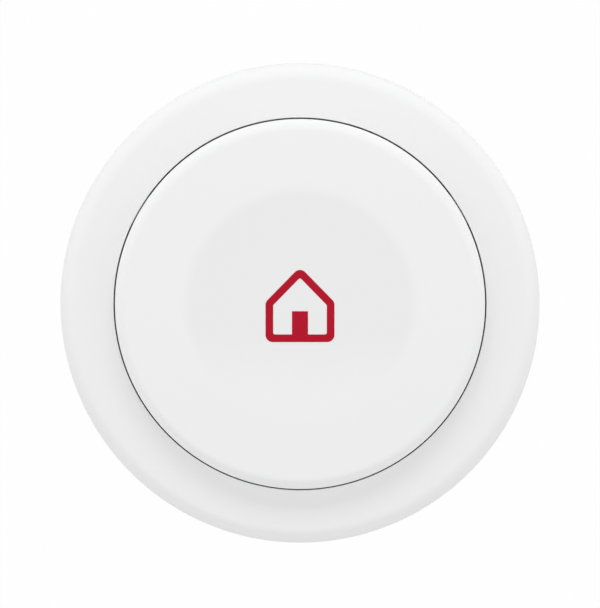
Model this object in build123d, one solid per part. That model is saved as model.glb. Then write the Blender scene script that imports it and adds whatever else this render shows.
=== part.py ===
# Smart button: a round press button that magnets hold on a wall plate.
# It lies on its back. +Z is the press axis, away from the wall, and +Y is up on the wall.
# The origin is at the centre of the adhesive pad's back. Sizes are in millimetres.

import math
import os

from build123d import *

# Cap: the round face that is pressed. Its radius follows from the board and the board's from its parts
cap_plate = 1.8  # thickness of the face
cap_proud = 2.0  # how far the face stands above the ring
cap_edge_radius = 1.4
cap_travel = 0.5
skirt_wall = 1.2
skirt_length = 3.2  # below the face's underside
dish_radius = 15.6
dish_depth = 0.35
dish_curve_shares = (0.62, 0.86)  # of the dish radius: where its floor ends and its edge begins
edge_break = 0.15  # small radius along the hairline gap
inner_corner_radius = 0.4
post_radius = 2.2  # presses the switch
post_length = 0.8
cap_rib_width = 1.0
cap_rib_height = 0.8
hook_lip = 0.875  # reach of each hook past the skirt
hook_height = 0.8
hook_inset = 0.25  # each hook's arm inside the faces of the skirt
hook_slack = 0.05  # hook to collar, up against its stop
hook_sweep = 14.0  # degrees
key_width = 2.0  # stops the cap from turning
key_height = 1.5
key_clearance = 0.15
fit_gap = 0.3  # ordinary clearance between moving pieces

# Mark: a plain house outline, moulded into the cap in red
mark_width = 8.6
mark_wall_height = 5.0
mark_roof_height = 4.4
mark_stroke = 0.95
mark_corner_radius = 0.9
mark_inner_radius = 0.25
mark_door_width = 2.0
mark_door_height = 2.9
mark_depth = 0.3
mark_proud = 0.02

# Ring and side wall
cap_gap = 0.25  # hairline all round the cap
ring_width = 6.625
ring_fall = 0.35  # how much lower the ring lies at its outside
ring_edge_radius = 2.0
shell_wall = 1.8
ring_plate = 1.6
collar_wall = 1.2
collar_below_skirt = -0.5  # the collar's end, measured from the skirt's end
seam_depth = 0.3  # shadow line where the two shells meet
seam_width = 0.3
ring_rib_width = 1.0
ring_rib_height = 2.2
ring_rib_count = 12

# Rear case
floor_wall = 1.6
rim_drop = 1.5  # the rim reaches this far past the floor, round the wall plate
rim_width = 2.0
rim_edge_radius = 1.2
rim_inner_radius = 0.3
seam_above_floor = 0.9
lip_wall = 1.0
lip_height = 1.2
lip_clearance = 0.1

# Wall plate, its keeper ring and its pad
pad_thickness = 1.0
pad_clearance = 0.2
pad_recess = 0.6
plate_rim_width = 3.5  # the plate's back outside the pad's recess
plate_thickness = 2.0
plate_clearance = 0.3
plate_edge_radius = 0.4
steel_thickness = 0.8
steel_margin = 0.3  # keeper ring past the magnets on each side
seat_clearance = 0.05  # round pieces that are set into a pocket
wall_screw_margin = 1.75  # screw boss to keeper ring
wall_screw_radius = 2.0
wall_screw_head_radius = 3.3
wall_screw_boss_radius = 4.2

# Coin cell and its contacts
cell_radius = 12.25
cell_height = 5.0
cell_corner_radius = 0.4
cell_crimp = 1.2  # the can's rolled rim, seen from the inner face
cell_groove = 0.35
cell_groove_depth = 0.15
cell_step = 0.3  # the inner face above the can's rim
contact_space = 0.8  # board above the cell
contact_metal = 0.2
contact_width = 4.0
contact_pad = 2.2
contact_touch_gap = 0.02
leaf_length = 9.0
finger_end_gap = 0.65  # finger's end above the door's lugs
finger_knee_share = 2 / 3  # of the way down, where the finger touches the can

# Battery door: a bayonet cover
door_thickness = 1.6
door_sink = 0.1
door_gap = 0.1
door_edge = 0.65
door_side_gap = 0.15
door_edge_radius = 0.3
neck_wall = 1.0
neck_clearance = 0.25  # cell to neck
cell_lift = 0.05
lug_reach = 1.2
lug_height = 0.8
lug_sweep = 24.0  # degrees
lug_notch_margin = 2.0  # degrees on each side
door_turn = 35.0  # degrees from locked to free
stop_sweep = 4.0  # degrees
stop_slack = 0.6  # degrees
ledge_height = 0.8
seal_section_radius = 0.5
seal_gap = 0.05
coin_slot_length = 14.0
coin_slot_width = 2.0
coin_slot_depth = 0.9
chamber_wall = 1.5
chamber_clearance = 0.4
flange_wall = 1.2
chamber_rib_width = 1.2
chamber_rib_gap = 0.2  # rib above the door's lugs
chamber_rib_count = 6

# Magnets
magnet_radius = 3.0
magnet_height = 2.0
magnet_skin = 0.5
magnet_wall = 0.9
magnet_edge_radius = 0.2

# Board and what stands on it
board_thickness = 1.0
board_clearance = 0.425
board_post_radius = 2.2
board_edge_distance = 2.0
frame_plate = 1.0
frame_lift = 0.15  # frame above the aerial
frame_part_gap = 1.0  # frame's inside to the radio's corners
frame_edge = 0.3
spring_radius = 2.1
spring_wire_radius = 0.2
spring_turns = 4
spring_end_gap = 0.05
spring_cup_wall = 0.8
spring_cup_clearance = 0.2
spring_cup_floor = 0.5
spring_pin_clearance = 0.3
spring_pin_length = 1.2
spring_part_gap = 1.3  # spring cup to radio
spring_inset = 4.0  # spring centre in from the board's edge

# Screws
screw_radius = 1.0
screw_clearance = 0.15
screw_pilot_gap = 0.02
screw_head_radius = 1.75
screw_head_height = 1.2
screw_recess_depth = 0.7
screw_recess_width = 0.4
screw_recess_length = 1.9
screw_point = 0.5
screw_end_gap = 0.5
screw_grip = 4.4  # into the post
case_boss_radius = 2.0
case_boss_offset = 1.325  # boss centre out from the collar's outside
case_clamp = 1.4
case_screw_grip = 5.0
case_head_sink = 0.2

# Press switch
switch_size = 6.2
switch_height = 2.5
switch_floor = 0.8
switch_metal = 0.15
switch_cover_drop = 1.45
switch_cavity_clearance = 0.1
stem_radius = 1.6
stem_fit = 0.05
stem_flange = 0.4
stem_flange_height = 0.7
stem_reach = 0.8  # above the switch's metal cover
dome_radius = 1.9
dome_height = 0.75
dome_metal = 0.12
lead_width = 0.7
lead_length = 1.3
lead_metal = 0.2
lead_inset = 1.6

# Pairing switch, pressed with a pin from the back
pairing_length = 4.0
pairing_depth = 3.0
pairing_height = 2.0
pairing_gap = 0.95  # switch to battery chamber
pairing_stem_radius = 0.8
pairing_stem_reach = 0.6
pairing_stem_root = 0.65
pairing_travel = 0.25
pairing_end_gap = 0.3
pinhole_radius = 0.8
pinhole_wall = 0.8
pinhole_gap = 0.35

# Electronics on the board
module_length = 10.0
module_width = 8.0
module_board = 0.8
shield_inset = 0.6
shield_height = 1.4
shield_corner_radius = 0.5
part_gap = 1.4  # between neighbouring parts on the board
antenna_length = 6.0
antenna_width = 2.0
antenna_height = 0.9
crystal_length = 3.2
crystal_width = 2.5
crystal_height = 0.8
capacitor_length = 1.6
capacitor_width = 0.8
capacitor_height = 0.8
capacitor_count = 5
resistor_length = 1.0
resistor_width = 0.5
resistor_height = 0.4
resistor_count = 6
led_length = 1.6
led_width = 0.8
led_height = 0.6
guide_sweep = 28.0  # degrees
guide_margin = 4.0  # degrees of open frame on each side
guide_gap = 0.1
guide_height = 1.1
guide_lip_height = 0.9
guide_lip_reach = 0.6

# Angles about the press axis, in degrees from +X towards +Y
three_angles = (0.0, 120.0, 240.0)
post_angles = (60.0, 180.0, 300.0)
magnet_angles = (30.0, 150.0, 270.0)
top_angle = 90.0
key_angle = 270.0
finger_angle = 180.0
antenna_angle = 330.0

overrun = 1.0  # how far a cut runs past what it cuts
overlap = 0.2  # how far a joined piece sinks into what carries it

# Heights above the wall
plate_back = pad_thickness - pad_recess
plate_top = plate_back + plate_thickness
steel_bottom = plate_top - steel_thickness
rim_bottom = plate_top - rim_drop
floor_top = plate_top + floor_wall
seam = floor_top + seam_above_floor
lip_top = seam + lip_height
door_bottom = plate_top + door_sink
door_top = door_bottom + door_thickness
ledge_bottom = door_top + door_gap
ledge_top = ledge_bottom + ledge_height
lug_bottom = ledge_top + door_gap
lug_top = lug_bottom + lug_height
cell_bottom = door_top + cell_lift
cell_top = cell_bottom + cell_height
board_bottom = cell_top + contact_space
board_top = board_bottom + board_thickness
frame_bottom = board_top + antenna_height + frame_lift
frame_top = frame_bottom + frame_plate
switch_top = board_top + switch_height
cover_top = switch_top + switch_metal
stem_top = cover_top + stem_reach
cap_under = stem_top + post_length
cap_top = cap_under + cap_plate
ring_top = cap_top - cap_proud
skirt_bottom = cap_under - skirt_length
collar_bottom = skirt_bottom + collar_below_skirt
hook_top = collar_bottom - hook_slack
hook_bottom = hook_top - hook_height
magnet_bottom = plate_top + magnet_skin
magnet_top = magnet_bottom + magnet_height
case_head_bottom = plate_top + case_head_sink
case_head_seat = case_head_bottom + screw_head_height
case_split = case_head_seat + case_clamp
case_screw_top = case_split + case_screw_grip
board_screw_bottom = board_bottom - screw_grip
pairing_bottom = board_bottom - pairing_height
pairing_stem_bottom = pairing_bottom - pairing_stem_reach
pinhole_top = pairing_stem_bottom - pinhole_gap

# Radii from the press axis
lead_end = switch_size / 2 + lead_length
module_end = lead_end + part_gap / 2 + module_width
spring_cup_inner = spring_radius + spring_cup_clearance
spring_cup_outer = spring_cup_inner + spring_cup_wall
spring_circle = module_end + spring_part_gap + spring_cup_outer
board_radius = spring_circle + spring_inset
board_post_circle = board_radius - board_edge_distance
frame_outer = board_radius - frame_edge
frame_inner = math.hypot(module_end, module_length / 2) + frame_part_gap
led_circle = (frame_inner + frame_outer) / 2
skirt_inner = board_radius + board_clearance
cap_radius = skirt_inner + skirt_wall
hook_radius = cap_radius + hook_lip
bore_radius = cap_radius + cap_gap
collar_outer = bore_radius + collar_wall
case_boss_circle = collar_outer + case_boss_offset
body_radius = bore_radius + ring_width
shell_inner = body_radius - shell_wall
lip_outer = shell_inner - lip_clearance
lip_inner = lip_outer - lip_wall
recess_radius = body_radius - rim_width
plate_radius = recess_radius - plate_clearance
pad_recess_radius = plate_radius - plate_rim_width
neck_inner = cell_radius + neck_clearance
neck_outer = neck_inner + neck_wall
lug_radius = neck_outer + lug_reach
ledge_radius = neck_outer + door_side_gap
notch_radius = lug_radius + door_side_gap
seal_groove_half = seal_section_radius + seat_clearance
seal_circle = notch_radius + door_side_gap + seal_groove_half
door_radius = seal_circle + seal_groove_half + door_edge
counterbore_radius = door_radius + door_side_gap
flange_radius = counterbore_radius + flange_wall
chamber_inner = lug_radius + chamber_clearance
chamber_outer = chamber_inner + chamber_wall
magnet_circle = flange_radius + door_side_gap + magnet_radius
steel_inner = magnet_circle - magnet_radius - steel_margin
steel_outer = magnet_circle + magnet_radius + steel_margin
wall_screw_circle = steel_inner - wall_screw_margin - wall_screw_boss_radius
pairing_circle = chamber_outer + pairing_gap + pairing_depth / 2


# Shapes that several pieces use
def section(*corners):
    # a closed outline of (radius, height) or (radius, height, corner radius) in the XZ plane
    points = [corner[:2] for corner in corners]
    radii = [corner[2] if len(corner) > 2 else 0 for corner in corners]
    return make_face(Plane.XZ * FilletPolyline(*points, radius=radii, close=True))


def turned(*corners):
    return revolve(section(*corners), Axis.Z)


def sector(middle, sweep, *corners):
    # part of a turned ring, centred on one angle
    return Rot(0, 0, middle - sweep / 2) * revolve(section(*corners), Axis.Z, sweep)


def tube(inner, outer, bottom, top):
    return ((inner, bottom), (outer, bottom), (outer, top), (inner, top))


def column(radius, bottom, top, circle=0, angle=0):
    spot = Rot(0, 0, angle) * Pos(circle, 0, bottom)
    return spot * Cylinder(radius, top - bottom, align=(Align.CENTER, Align.CENTER, Align.MIN))


def block(length, width, bottom, top, circle=0, angle=0):
    # length runs away from the press axis
    spot = Rot(0, 0, angle) * Pos(circle, 0, bottom)
    return spot * Box(length, width, top - bottom, align=(Align.CENTER, Align.CENTER, Align.MIN))


def spoke(inner, outer, width, bottom, top, angle):
    return block(outer - inner, width, bottom, top, (inner + outer) / 2, angle)


def save(name, *shapes):
    solids = [solid for shape in shapes for solid in shape.solids()]
    whole = solids[0] if len(solids) == 1 else Compound(solids)
    export_step(whole, os.path.join("parts", name + ".step"))
    print(name, len(solids), "solids", round(sum(solid.volume for solid in solids), 1), "mm3")


# Wall mount
def make_adhesive_pad():
    pad = turned(*tube(0, pad_recess_radius - pad_clearance, 0, pad_thickness))
    hole_radius = wall_screw_boss_radius + pad_clearance
    for angle in (0, 180):
        pad -= column(hole_radius, -overrun, pad_thickness + overrun, wall_screw_circle, angle)
    return pad


def make_wall_plate():
    plate = turned(
        (0, pad_thickness),
        (pad_recess_radius, pad_thickness),
        (pad_recess_radius, plate_back),
        (plate_radius, plate_back),
        (plate_radius, plate_top, plate_edge_radius),
        (0, plate_top),
    )
    sink_depth = wall_screw_head_radius - wall_screw_radius
    hole = turned(
        (0, plate_back - overrun),
        (wall_screw_radius, plate_back - overrun),
        (wall_screw_radius, plate_top - sink_depth),
        (wall_screw_head_radius, plate_top),
        (wall_screw_head_radius, plate_top + overrun),
        (0, plate_top + overrun),
    )
    for angle in (0, 180):
        place = (wall_screw_circle, angle)
        plate += column(wall_screw_boss_radius, plate_back, pad_thickness + overlap, *place)
        plate -= Rot(0, 0, angle) * Pos(wall_screw_circle, 0, 0) * hole
    inner = steel_inner - seat_clearance
    outer = steel_outer + seat_clearance
    return plate - turned(*tube(inner, outer, steel_bottom, plate_top + overrun))


def make_steel_ring():
    return turned(*tube(steel_inner, steel_outer, steel_bottom, plate_top))


# Rear case
def make_rear_case():
    case = turned(
        (0, plate_top),
        (recess_radius, plate_top),
        (recess_radius, rim_bottom, rim_inner_radius),
        (body_radius, rim_bottom, rim_edge_radius),
        (body_radius, seam),
        (lip_outer, seam),
        (lip_outer, lip_top),
        (lip_inner, lip_top),
        (lip_inner, floor_top, inner_corner_radius),
        (0, floor_top),
    )
    case -= column(counterbore_radius, plate_top - overrun, floor_top + overrun)
    case += turned(
        (counterbore_radius, plate_top),
        (flange_radius, plate_top),
        (flange_radius, ledge_top),
        (chamber_outer, ledge_top),
        (chamber_outer, board_bottom),
        (chamber_inner, board_bottom),
        (chamber_inner, ledge_top),
        (ledge_radius, ledge_top),
        (ledge_radius, ledge_bottom),
        (counterbore_radius, ledge_bottom),
    )
    case = add_board_posts(case)
    case -= column(counterbore_radius, plate_top - overrun, ledge_bottom)  # room for the door
    case -= column(chamber_inner, ledge_top, board_bottom + overrun)  # room for the cell
    case = add_door_stops(case)
    case = add_chamber_ribs(case)
    case = add_magnet_cups(case)
    case = add_case_bosses(case)
    return add_pinhole(case)


def add_door_stops(case):
    # a notch for each lug to drop through, and a stop at each end of its turn
    notch = lug_sweep + 2 * lug_notch_margin
    cut = tube(ledge_radius - overrun, notch_radius, ledge_bottom - door_gap / 2, ledge_top + overrun)
    stop_inner = ledge_radius + seat_clearance
    stop = tube(stop_inner, chamber_inner + overlap, ledge_top - overlap, lug_top)
    past_lug = lug_sweep / 2 + stop_slack + stop_sweep / 2
    for angle in three_angles:
        case -= sector(angle + door_turn, notch, *cut)
        case += sector(angle - past_lug, stop_sweep, *stop)
        case += sector(angle + door_turn + past_lug, stop_sweep, *stop)
    return case


def add_chamber_ribs(case):
    # ribs that centre the cell above the door's neck
    bottom = lug_top + chamber_rib_gap
    outer = chamber_inner + overlap
    for index in range(chamber_rib_count):
        angle = (index + 1 / 2) * 360 / chamber_rib_count
        case += spoke(neck_inner, outer, chamber_rib_width, bottom, board_bottom, angle)
    return case


def add_magnet_cups(case):
    pocket = magnet_radius + seat_clearance
    for angle in magnet_angles:
        case += column(pocket + magnet_wall, floor_top - overlap, magnet_top, magnet_circle, angle)
        case -= column(pocket, magnet_bottom, magnet_top + overrun, magnet_circle, angle)
    return case


def add_board_posts(case):
    pilot = screw_radius + screw_pilot_gap
    pilot_end = board_screw_bottom - screw_end_gap
    for angle in post_angles:
        place = (board_post_circle, angle)
        case += column(board_post_radius, floor_top - overlap, board_bottom, *place)
        case -= column(pilot, pilot_end, board_bottom + overrun, *place)
    return case


def add_case_bosses(case):
    head = screw_head_radius + screw_clearance
    shank = screw_radius + screw_clearance
    for angle in three_angles:
        place = (case_boss_circle, angle)
        case -= column(case_boss_radius + lip_clearance, floor_top, lip_top + overrun, *place)
        case += column(case_boss_radius, floor_top - overlap, case_split, *place)
        case -= column(head, plate_top - overrun, case_head_seat, *place)
        case -= column(shank, plate_top, case_split + overrun, *place)
    return case


def add_pinhole(case):
    # a guide for the pin that reaches the pairing switch
    place = (pairing_circle, top_angle)
    case += column(pinhole_radius + pinhole_wall, floor_top - overlap, pinhole_top, *place)
    return case - column(pinhole_radius, plate_top - overrun, pinhole_top + overrun, *place)


def make_magnets():
    disc = turned(
        (0, magnet_bottom),
        (magnet_radius, magnet_bottom, magnet_edge_radius),
        (magnet_radius, magnet_top, magnet_edge_radius),
        (0, magnet_top),
    )
    return [Rot(0, 0, angle) * Pos(magnet_circle, 0, 0) * disc for angle in magnet_angles]


# Battery door, its seal and the cell
def seal_groove_floor():
    return ledge_bottom - seal_gap - 2 * seal_section_radius - seat_clearance


def make_battery_door():
    groove_inner = seal_circle - seal_groove_half
    groove_outer = seal_circle + seal_groove_half
    door = turned(
        (0, door_bottom),
        (door_radius, door_bottom, door_edge_radius),
        (door_radius, door_top),
        (groove_outer, door_top),
        (groove_outer, seal_groove_floor()),
        (groove_inner, seal_groove_floor()),
        (groove_inner, door_top),
        (neck_outer, door_top),
        (neck_outer, lug_top),
        (neck_inner, lug_top),
        (neck_inner, door_top),
        (0, door_top),
    )
    lug = tube(neck_outer - overlap, lug_radius, lug_bottom, lug_top)
    for angle in three_angles:
        door += sector(angle, lug_sweep, *lug)
    slot = Plane.XY.offset(door_bottom) * SlotOverall(coin_slot_length, coin_slot_width)
    return door - extrude(slot, coin_slot_depth)


def make_door_seal():
    height = seal_groove_floor() + seat_clearance / 2 + seal_section_radius
    return Pos(0, 0, height) * Torus(seal_circle, seal_section_radius)


def make_coin_cell():
    rim = cell_top - cell_step
    face_radius = cell_radius - cell_crimp - cell_groove
    return turned(
        (0, cell_bottom),
        (cell_radius, cell_bottom, cell_corner_radius),
        (cell_radius, rim, cell_corner_radius),
        (cell_radius - cell_crimp, rim),
        (cell_radius - cell_crimp, rim - cell_groove_depth),
        (face_radius, rim - cell_groove_depth),
        (face_radius, cell_top, contact_metal),
        (0, cell_top),
    )


def make_contact_positive():
    # a finger down the can's side, from a pad under the board
    touch = cell_radius + contact_touch_gap
    root = touch + contact_space
    end = lug_top + finger_end_gap
    knee = board_bottom - (board_bottom - end) * finger_knee_share
    outline = Polyline(
        (root + contact_metal, board_bottom),
        (chamber_inner - contact_metal, board_bottom),
        (chamber_inner - contact_metal, board_bottom - contact_metal),
        (root + 2 * contact_metal, board_bottom - contact_metal),
        (touch + contact_metal, knee),
        (root, end),
        (root - contact_metal, end),
        (touch, knee),
        close=True,
    )
    return turn_plate(outline, finger_angle)


def make_contact_negative():
    # a leaf from a pad under the board down to the cell's inner face
    low = cell_top + contact_touch_gap
    start = -leaf_length / 2
    outline = Polyline(
        (start - contact_pad, board_bottom),
        (start, board_bottom),
        (0, low + contact_metal),
        (leaf_length / 2, low + 2 * contact_metal),
        (leaf_length / 2, low + contact_metal),
        (0, low),
        (start - contact_metal, board_bottom - contact_metal),
        (start - contact_pad, board_bottom - contact_metal),
        close=True,
    )
    return turn_plate(outline, top_angle)


def turn_plate(outline, angle):
    # a bent strip of the contacts' width, cut from its side view
    strip = extrude(make_face(Plane.XZ * outline), contact_width / 2, both=True)
    return Rot(0, 0, angle) * strip


# Board
def make_pcb():
    board = turned(*tube(0, board_radius, board_bottom, board_top))
    hole = screw_radius + screw_clearance
    for angle in post_angles:
        place = (board_post_circle, angle)
        board -= column(hole, board_bottom - overrun, board_top + overrun, *place)
    return board


def screw(length):
    # head below zero, shank up to its point
    shape = turned(
        (0, -screw_head_height),
        (screw_head_radius, -screw_head_height, inner_corner_radius),
        (screw_head_radius, 0),
        (screw_radius, 0),
        (screw_radius, length - screw_point),
        (screw_radius / 2, length),
        (0, length),
    )
    bottom = -screw_head_height - overrun
    recess_end = -screw_head_height + screw_recess_depth
    for angle in (0, 90):
        shape -= block(screw_recess_length, screw_recess_width, bottom, recess_end, 0, angle)
    return shape


def make_pcb_screws():
    one = Pos(board_post_circle, 0, frame_top) * Rot(180, 0, 0) * screw(frame_top - board_screw_bottom)
    return [Rot(0, 0, angle) * one for angle in post_angles]


def make_case_screws():
    one = Pos(case_boss_circle, 0, case_head_seat) * screw(case_screw_top - case_head_seat)
    return [Rot(0, 0, angle) * one for angle in three_angles]


# Inner frame and springs
def spring_floor():
    return board_top + spring_cup_floor


def make_inner_frame():
    frame = turned(*tube(frame_inner, frame_outer, frame_bottom, frame_top))
    inner = frame_inner - overrun
    outer = frame_outer + overrun
    window = tube(inner, outer, frame_bottom - overrun, frame_top + overrun)
    frame -= sector(top_angle, guide_sweep + 2 * guide_margin, *window)
    for angle in three_angles:
        place = (spring_circle, angle)
        frame += column(spring_cup_outer, board_top, frame_top, *place)
        frame -= column(spring_cup_inner, spring_floor(), frame_top + overrun, *place)
    hole = screw_radius + screw_clearance
    for angle in post_angles:
        place = (board_post_circle, angle)
        frame += column(board_post_radius, board_top, frame_bottom + overlap, *place)
        frame -= column(hole, board_top - overrun, frame_top + overrun, *place)
    return frame


def make_return_springs():
    length = cap_under - spring_floor() - 2 * spring_end_gap - 2 * spring_wire_radius
    mean_radius = spring_radius - spring_wire_radius
    path = Helix(length / spring_turns, length, mean_radius)
    wire = Plane(origin=path @ 0, z_dir=path % 0) * Circle(spring_wire_radius)
    coil = sweep(wire, path)
    base = spring_floor() + spring_end_gap + spring_wire_radius
    return [Rot(0, 0, angle) * Pos(spring_circle, 0, base) * coil for angle in three_angles]


# Press switch
def dome_floor():
    return board_top + switch_floor


def make_switch_body():
    body = block(switch_size, switch_size, board_top, switch_top)
    cavity = stem_radius + stem_flange + switch_cavity_clearance
    return body - column(cavity, dome_floor(), switch_top + overrun)


def make_switch_dome():
    sphere_radius = (dome_radius**2 + dome_height**2) / (2 * dome_height)
    centre = dome_floor() + dome_height - sphere_radius
    shell = Sphere(sphere_radius) - Sphere(sphere_radius - dome_metal)
    room = column(dome_radius, dome_floor(), dome_floor() + dome_height + overrun)
    return (Pos(0, 0, centre) * shell) & room


def make_switch_plunger():
    bottom = dome_floor() + dome_height + stem_fit
    flange = stem_radius + stem_flange
    return turned(
        (0, bottom),
        (flange, bottom),
        (flange, bottom + stem_flange_height),
        (stem_radius, bottom + stem_flange_height),
        (stem_radius, stem_top),
        (0, stem_top),
    )


def make_switch_cover():
    inside = switch_size + 2 * stem_fit
    outside = inside + 2 * switch_metal
    bottom = cover_top - switch_cover_drop
    cover = block(outside, outside, bottom, cover_top)
    cover -= block(inside, inside, bottom - overrun, switch_top)
    return cover - column(stem_radius + stem_fit, bottom, cover_top + overrun)


def make_switch_leads():
    start = switch_size / 2
    leads = []
    for side in (-1, 1):
        for along in (-lead_inset, lead_inset):
            place = Pos(side * (start + lead_length / 2), along, board_top + lead_metal / 2)
            leads.append(place * Box(lead_length, lead_width, lead_metal))
    return leads


# Electronics
def make_radio_module():
    circle = module_end - module_width / 2
    return block(module_width, module_length, board_top, board_top + module_board, circle)


def make_radio_shield():
    width = module_width - 2 * shield_inset
    length = module_length - 2 * shield_inset
    plan = RectangleRounded(width, length, shield_corner_radius)
    place = Pos(module_end - module_width / 2, 0, board_top + module_board)
    return place * extrude(plan, shield_height)


def make_chip_antenna():
    place = (board_post_circle, antenna_angle)
    return block(antenna_width, antenna_length, board_top, board_top + antenna_height, *place)


def make_crystal():
    circle = switch_size / 2 + part_gap + crystal_width / 2
    height = board_top + crystal_height
    return block(crystal_width, crystal_length, board_top, height, circle, key_angle)


def row_of_chips(length, width, height, count, circle, angle):
    # equal chips side by side, square to the line from the press axis
    pitch = width + part_gap / 2
    chips = []
    for index in range(count):
        along = (index - (count - 1) / 2) * pitch
        chip = Pos(circle, along, board_top + height / 2) * Box(length, width, height)
        chips.append(Rot(0, 0, angle) * chip)
    return chips


def make_capacitors():
    size = (capacitor_length, capacitor_width, capacitor_height)
    circle = lead_end + part_gap + capacitor_length / 2
    return row_of_chips(*size, capacitor_count, circle, 180)


def make_resistors():
    size = (resistor_length, resistor_width, resistor_height)
    circle = switch_size / 2 + part_gap + resistor_length / 2
    return row_of_chips(*size, resistor_count, circle, top_angle)


def make_status_led():
    return block(led_width, led_length, board_top, board_top + led_height, led_circle, top_angle)


def make_light_guide():
    # stands on the board, over the LED, and ends under the hairline gap
    over_led = board_top + led_height + guide_gap
    guide_top = board_top + led_height + guide_height
    inner = led_circle - led_width / 2 - guide_gap
    step = led_circle + led_width / 2 + guide_gap
    outside = bore_radius + guide_lip_reach
    past_board = board_radius + fit_gap
    top = collar_bottom - fit_gap / 2
    return sector(
        top_angle,
        guide_sweep,
        (inner, over_led),
        (step, over_led),
        (step, board_top),
        (past_board, board_top),
        (past_board, top - guide_lip_height),
        (outside, top - guide_lip_height),
        (outside, top),
        (past_board, top),
        (board_radius - 2 * guide_lip_reach, guide_top),
        (inner, guide_top),
    )


# Pairing switch under the board
def make_pairing_switch():
    place = (pairing_circle, top_angle)
    body = block(pairing_depth, pairing_length, pairing_bottom, board_bottom, *place)
    root = pairing_bottom + pairing_stem_root + pairing_travel + pairing_end_gap
    return body - column(pairing_stem_radius + stem_fit, pairing_bottom - overrun, root, *place)


def make_pairing_stem():
    top = pairing_bottom + pairing_stem_root
    return column(pairing_stem_radius, pairing_stem_bottom, top, pairing_circle, top_angle)


# Front housing
def make_front_housing():
    outer_top = ring_top - ring_fall
    under_inner = ring_top - ring_plate
    under_outer = outer_top - ring_plate
    housing = turned(
        (shell_inner, seam),
        (body_radius - seam_depth, seam),
        (body_radius - seam_depth, seam + seam_width),
        (body_radius, seam + seam_width),
        (body_radius, outer_top, ring_edge_radius),
        (bore_radius, ring_top, edge_break),
        (bore_radius, collar_bottom, edge_break),
        (collar_outer, collar_bottom),
        (collar_outer, under_inner, inner_corner_radius),
        (shell_inner, under_outer, inner_corner_radius),
    )
    rib_ends = (collar_outer - overlap, shell_inner + overlap)
    rib_heights = (under_outer - ring_rib_height, under_outer + overlap)
    for index in range(ring_rib_count):
        angle = (index + 1 / 2) * 360 / ring_rib_count
        housing += spoke(*rib_ends, ring_rib_width, *rib_heights, angle)
    for angle in three_angles:
        housing = add_boss(housing, angle)
    key_ends = (skirt_inner + fit_gap, bore_radius + overlap)
    key_heights = (collar_bottom, collar_bottom + key_height)
    return housing + spoke(*key_ends, key_width, *key_heights, key_angle)


def add_boss(housing, angle):
    place = (case_boss_circle, angle)
    pilot_end = case_screw_top + screw_end_gap
    housing += column(case_boss_radius, case_split, ring_top - ring_plate, *place)
    return housing - column(screw_radius + screw_pilot_gap, case_split - overrun, pilot_end, *place)


# Cap
def dish_curve(lift):
    # the dish from its centre to its edge, level at both ends
    low = cap_top - dish_depth + lift
    high = cap_top + lift
    floor_end, edge_start = [share * dish_radius for share in dish_curve_shares]
    return Bezier((0, low), (floor_end, low), (edge_start, high), (dish_radius, high))


def mark_plan():
    # a house: a square with a pitched roof, drawn as one stroke, and its door
    half = mark_width / 2
    base = -(mark_wall_height + mark_roof_height) / 2
    eaves = base + mark_wall_height
    points = ((-half, base), (half, base), (half, eaves), (0, eaves + mark_roof_height), (-half, eaves))
    house = make_face(Polyline(*points, close=True))
    inside = offset(house, amount=-mark_stroke, kind=Kind.INTERSECTION)
    inside = fillet(inside.vertices(), mark_inner_radius)
    stroke = fillet(house.vertices(), mark_corner_radius) - inside
    door_centre = base + (mark_stroke + mark_door_height) / 2
    door = Pos(0, door_centre) * Rectangle(mark_door_width, mark_door_height + mark_stroke)
    return stroke + door


def make_cap_mark():
    # follows the dish, a hair above it
    bottom = cap_top - dish_depth - mark_depth
    top = dish_curve(mark_proud)
    sides = Polyline(top @ 1, (dish_radius, bottom), (0, bottom), top @ 0)
    room = revolve(make_face(Plane.XZ * Wire([top, *sides.edges()])), Axis.Z)
    return extrude(Plane.XY.offset(bottom) * mark_plan(), mark_depth + dish_depth) & room


def make_press_cap():
    top = dish_curve(0)
    sides = FilletPolyline(
        top @ 1,
        (cap_radius, cap_top),
        (cap_radius, skirt_bottom),
        (skirt_inner, skirt_bottom),
        (skirt_inner, cap_under),
        (0, cap_under),
        top @ 0,
        radius=(cap_edge_radius, edge_break, 0, inner_corner_radius, 0),
    )
    cap = revolve(make_face(Plane.XZ * Wire([top, *sides.edges()])), Axis.Z)
    cap += column(post_radius, stem_top, cap_under + overlap)
    pin_radius = spring_radius - 2 * spring_wire_radius - spring_pin_clearance
    pin_heights = (cap_under - spring_pin_length, cap_under + overlap)
    rib_heights = (cap_under - cap_rib_height, cap_under + overlap)
    for angle in three_angles:
        cap += column(pin_radius, *pin_heights, spring_circle, angle)
        cap += spoke(0, skirt_inner + overlap, cap_rib_width, *rib_heights, angle + top_angle)
    cap = add_hooks(cap)
    slot_ends = (skirt_inner - overlap, cap_radius + overrun)
    slot_heights = (skirt_bottom - overrun, collar_bottom + key_height + cap_travel + fit_gap)
    cap -= spoke(*slot_ends, key_width + 2 * key_clearance, *slot_heights, key_angle)
    pocket_bottom = cap_top - dish_depth - mark_depth
    return cap - extrude(Plane.XY.offset(pocket_bottom) * mark_plan(), mark_depth + overrun)


def add_hooks(cap):
    # each hook hangs from inside the skirt's wall and reaches out under the collar
    inner = skirt_inner + hook_inset
    outer = cap_radius - hook_inset
    hook = (
        (inner, hook_bottom),
        (hook_radius, hook_bottom),
        (hook_radius, hook_top),
        (outer, hook_top),
        (outer, skirt_bottom + overlap),
        (inner, skirt_bottom + overlap),
    )
    for angle in post_angles:
        cap += sector(angle, hook_sweep, *hook)
    return cap


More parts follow.
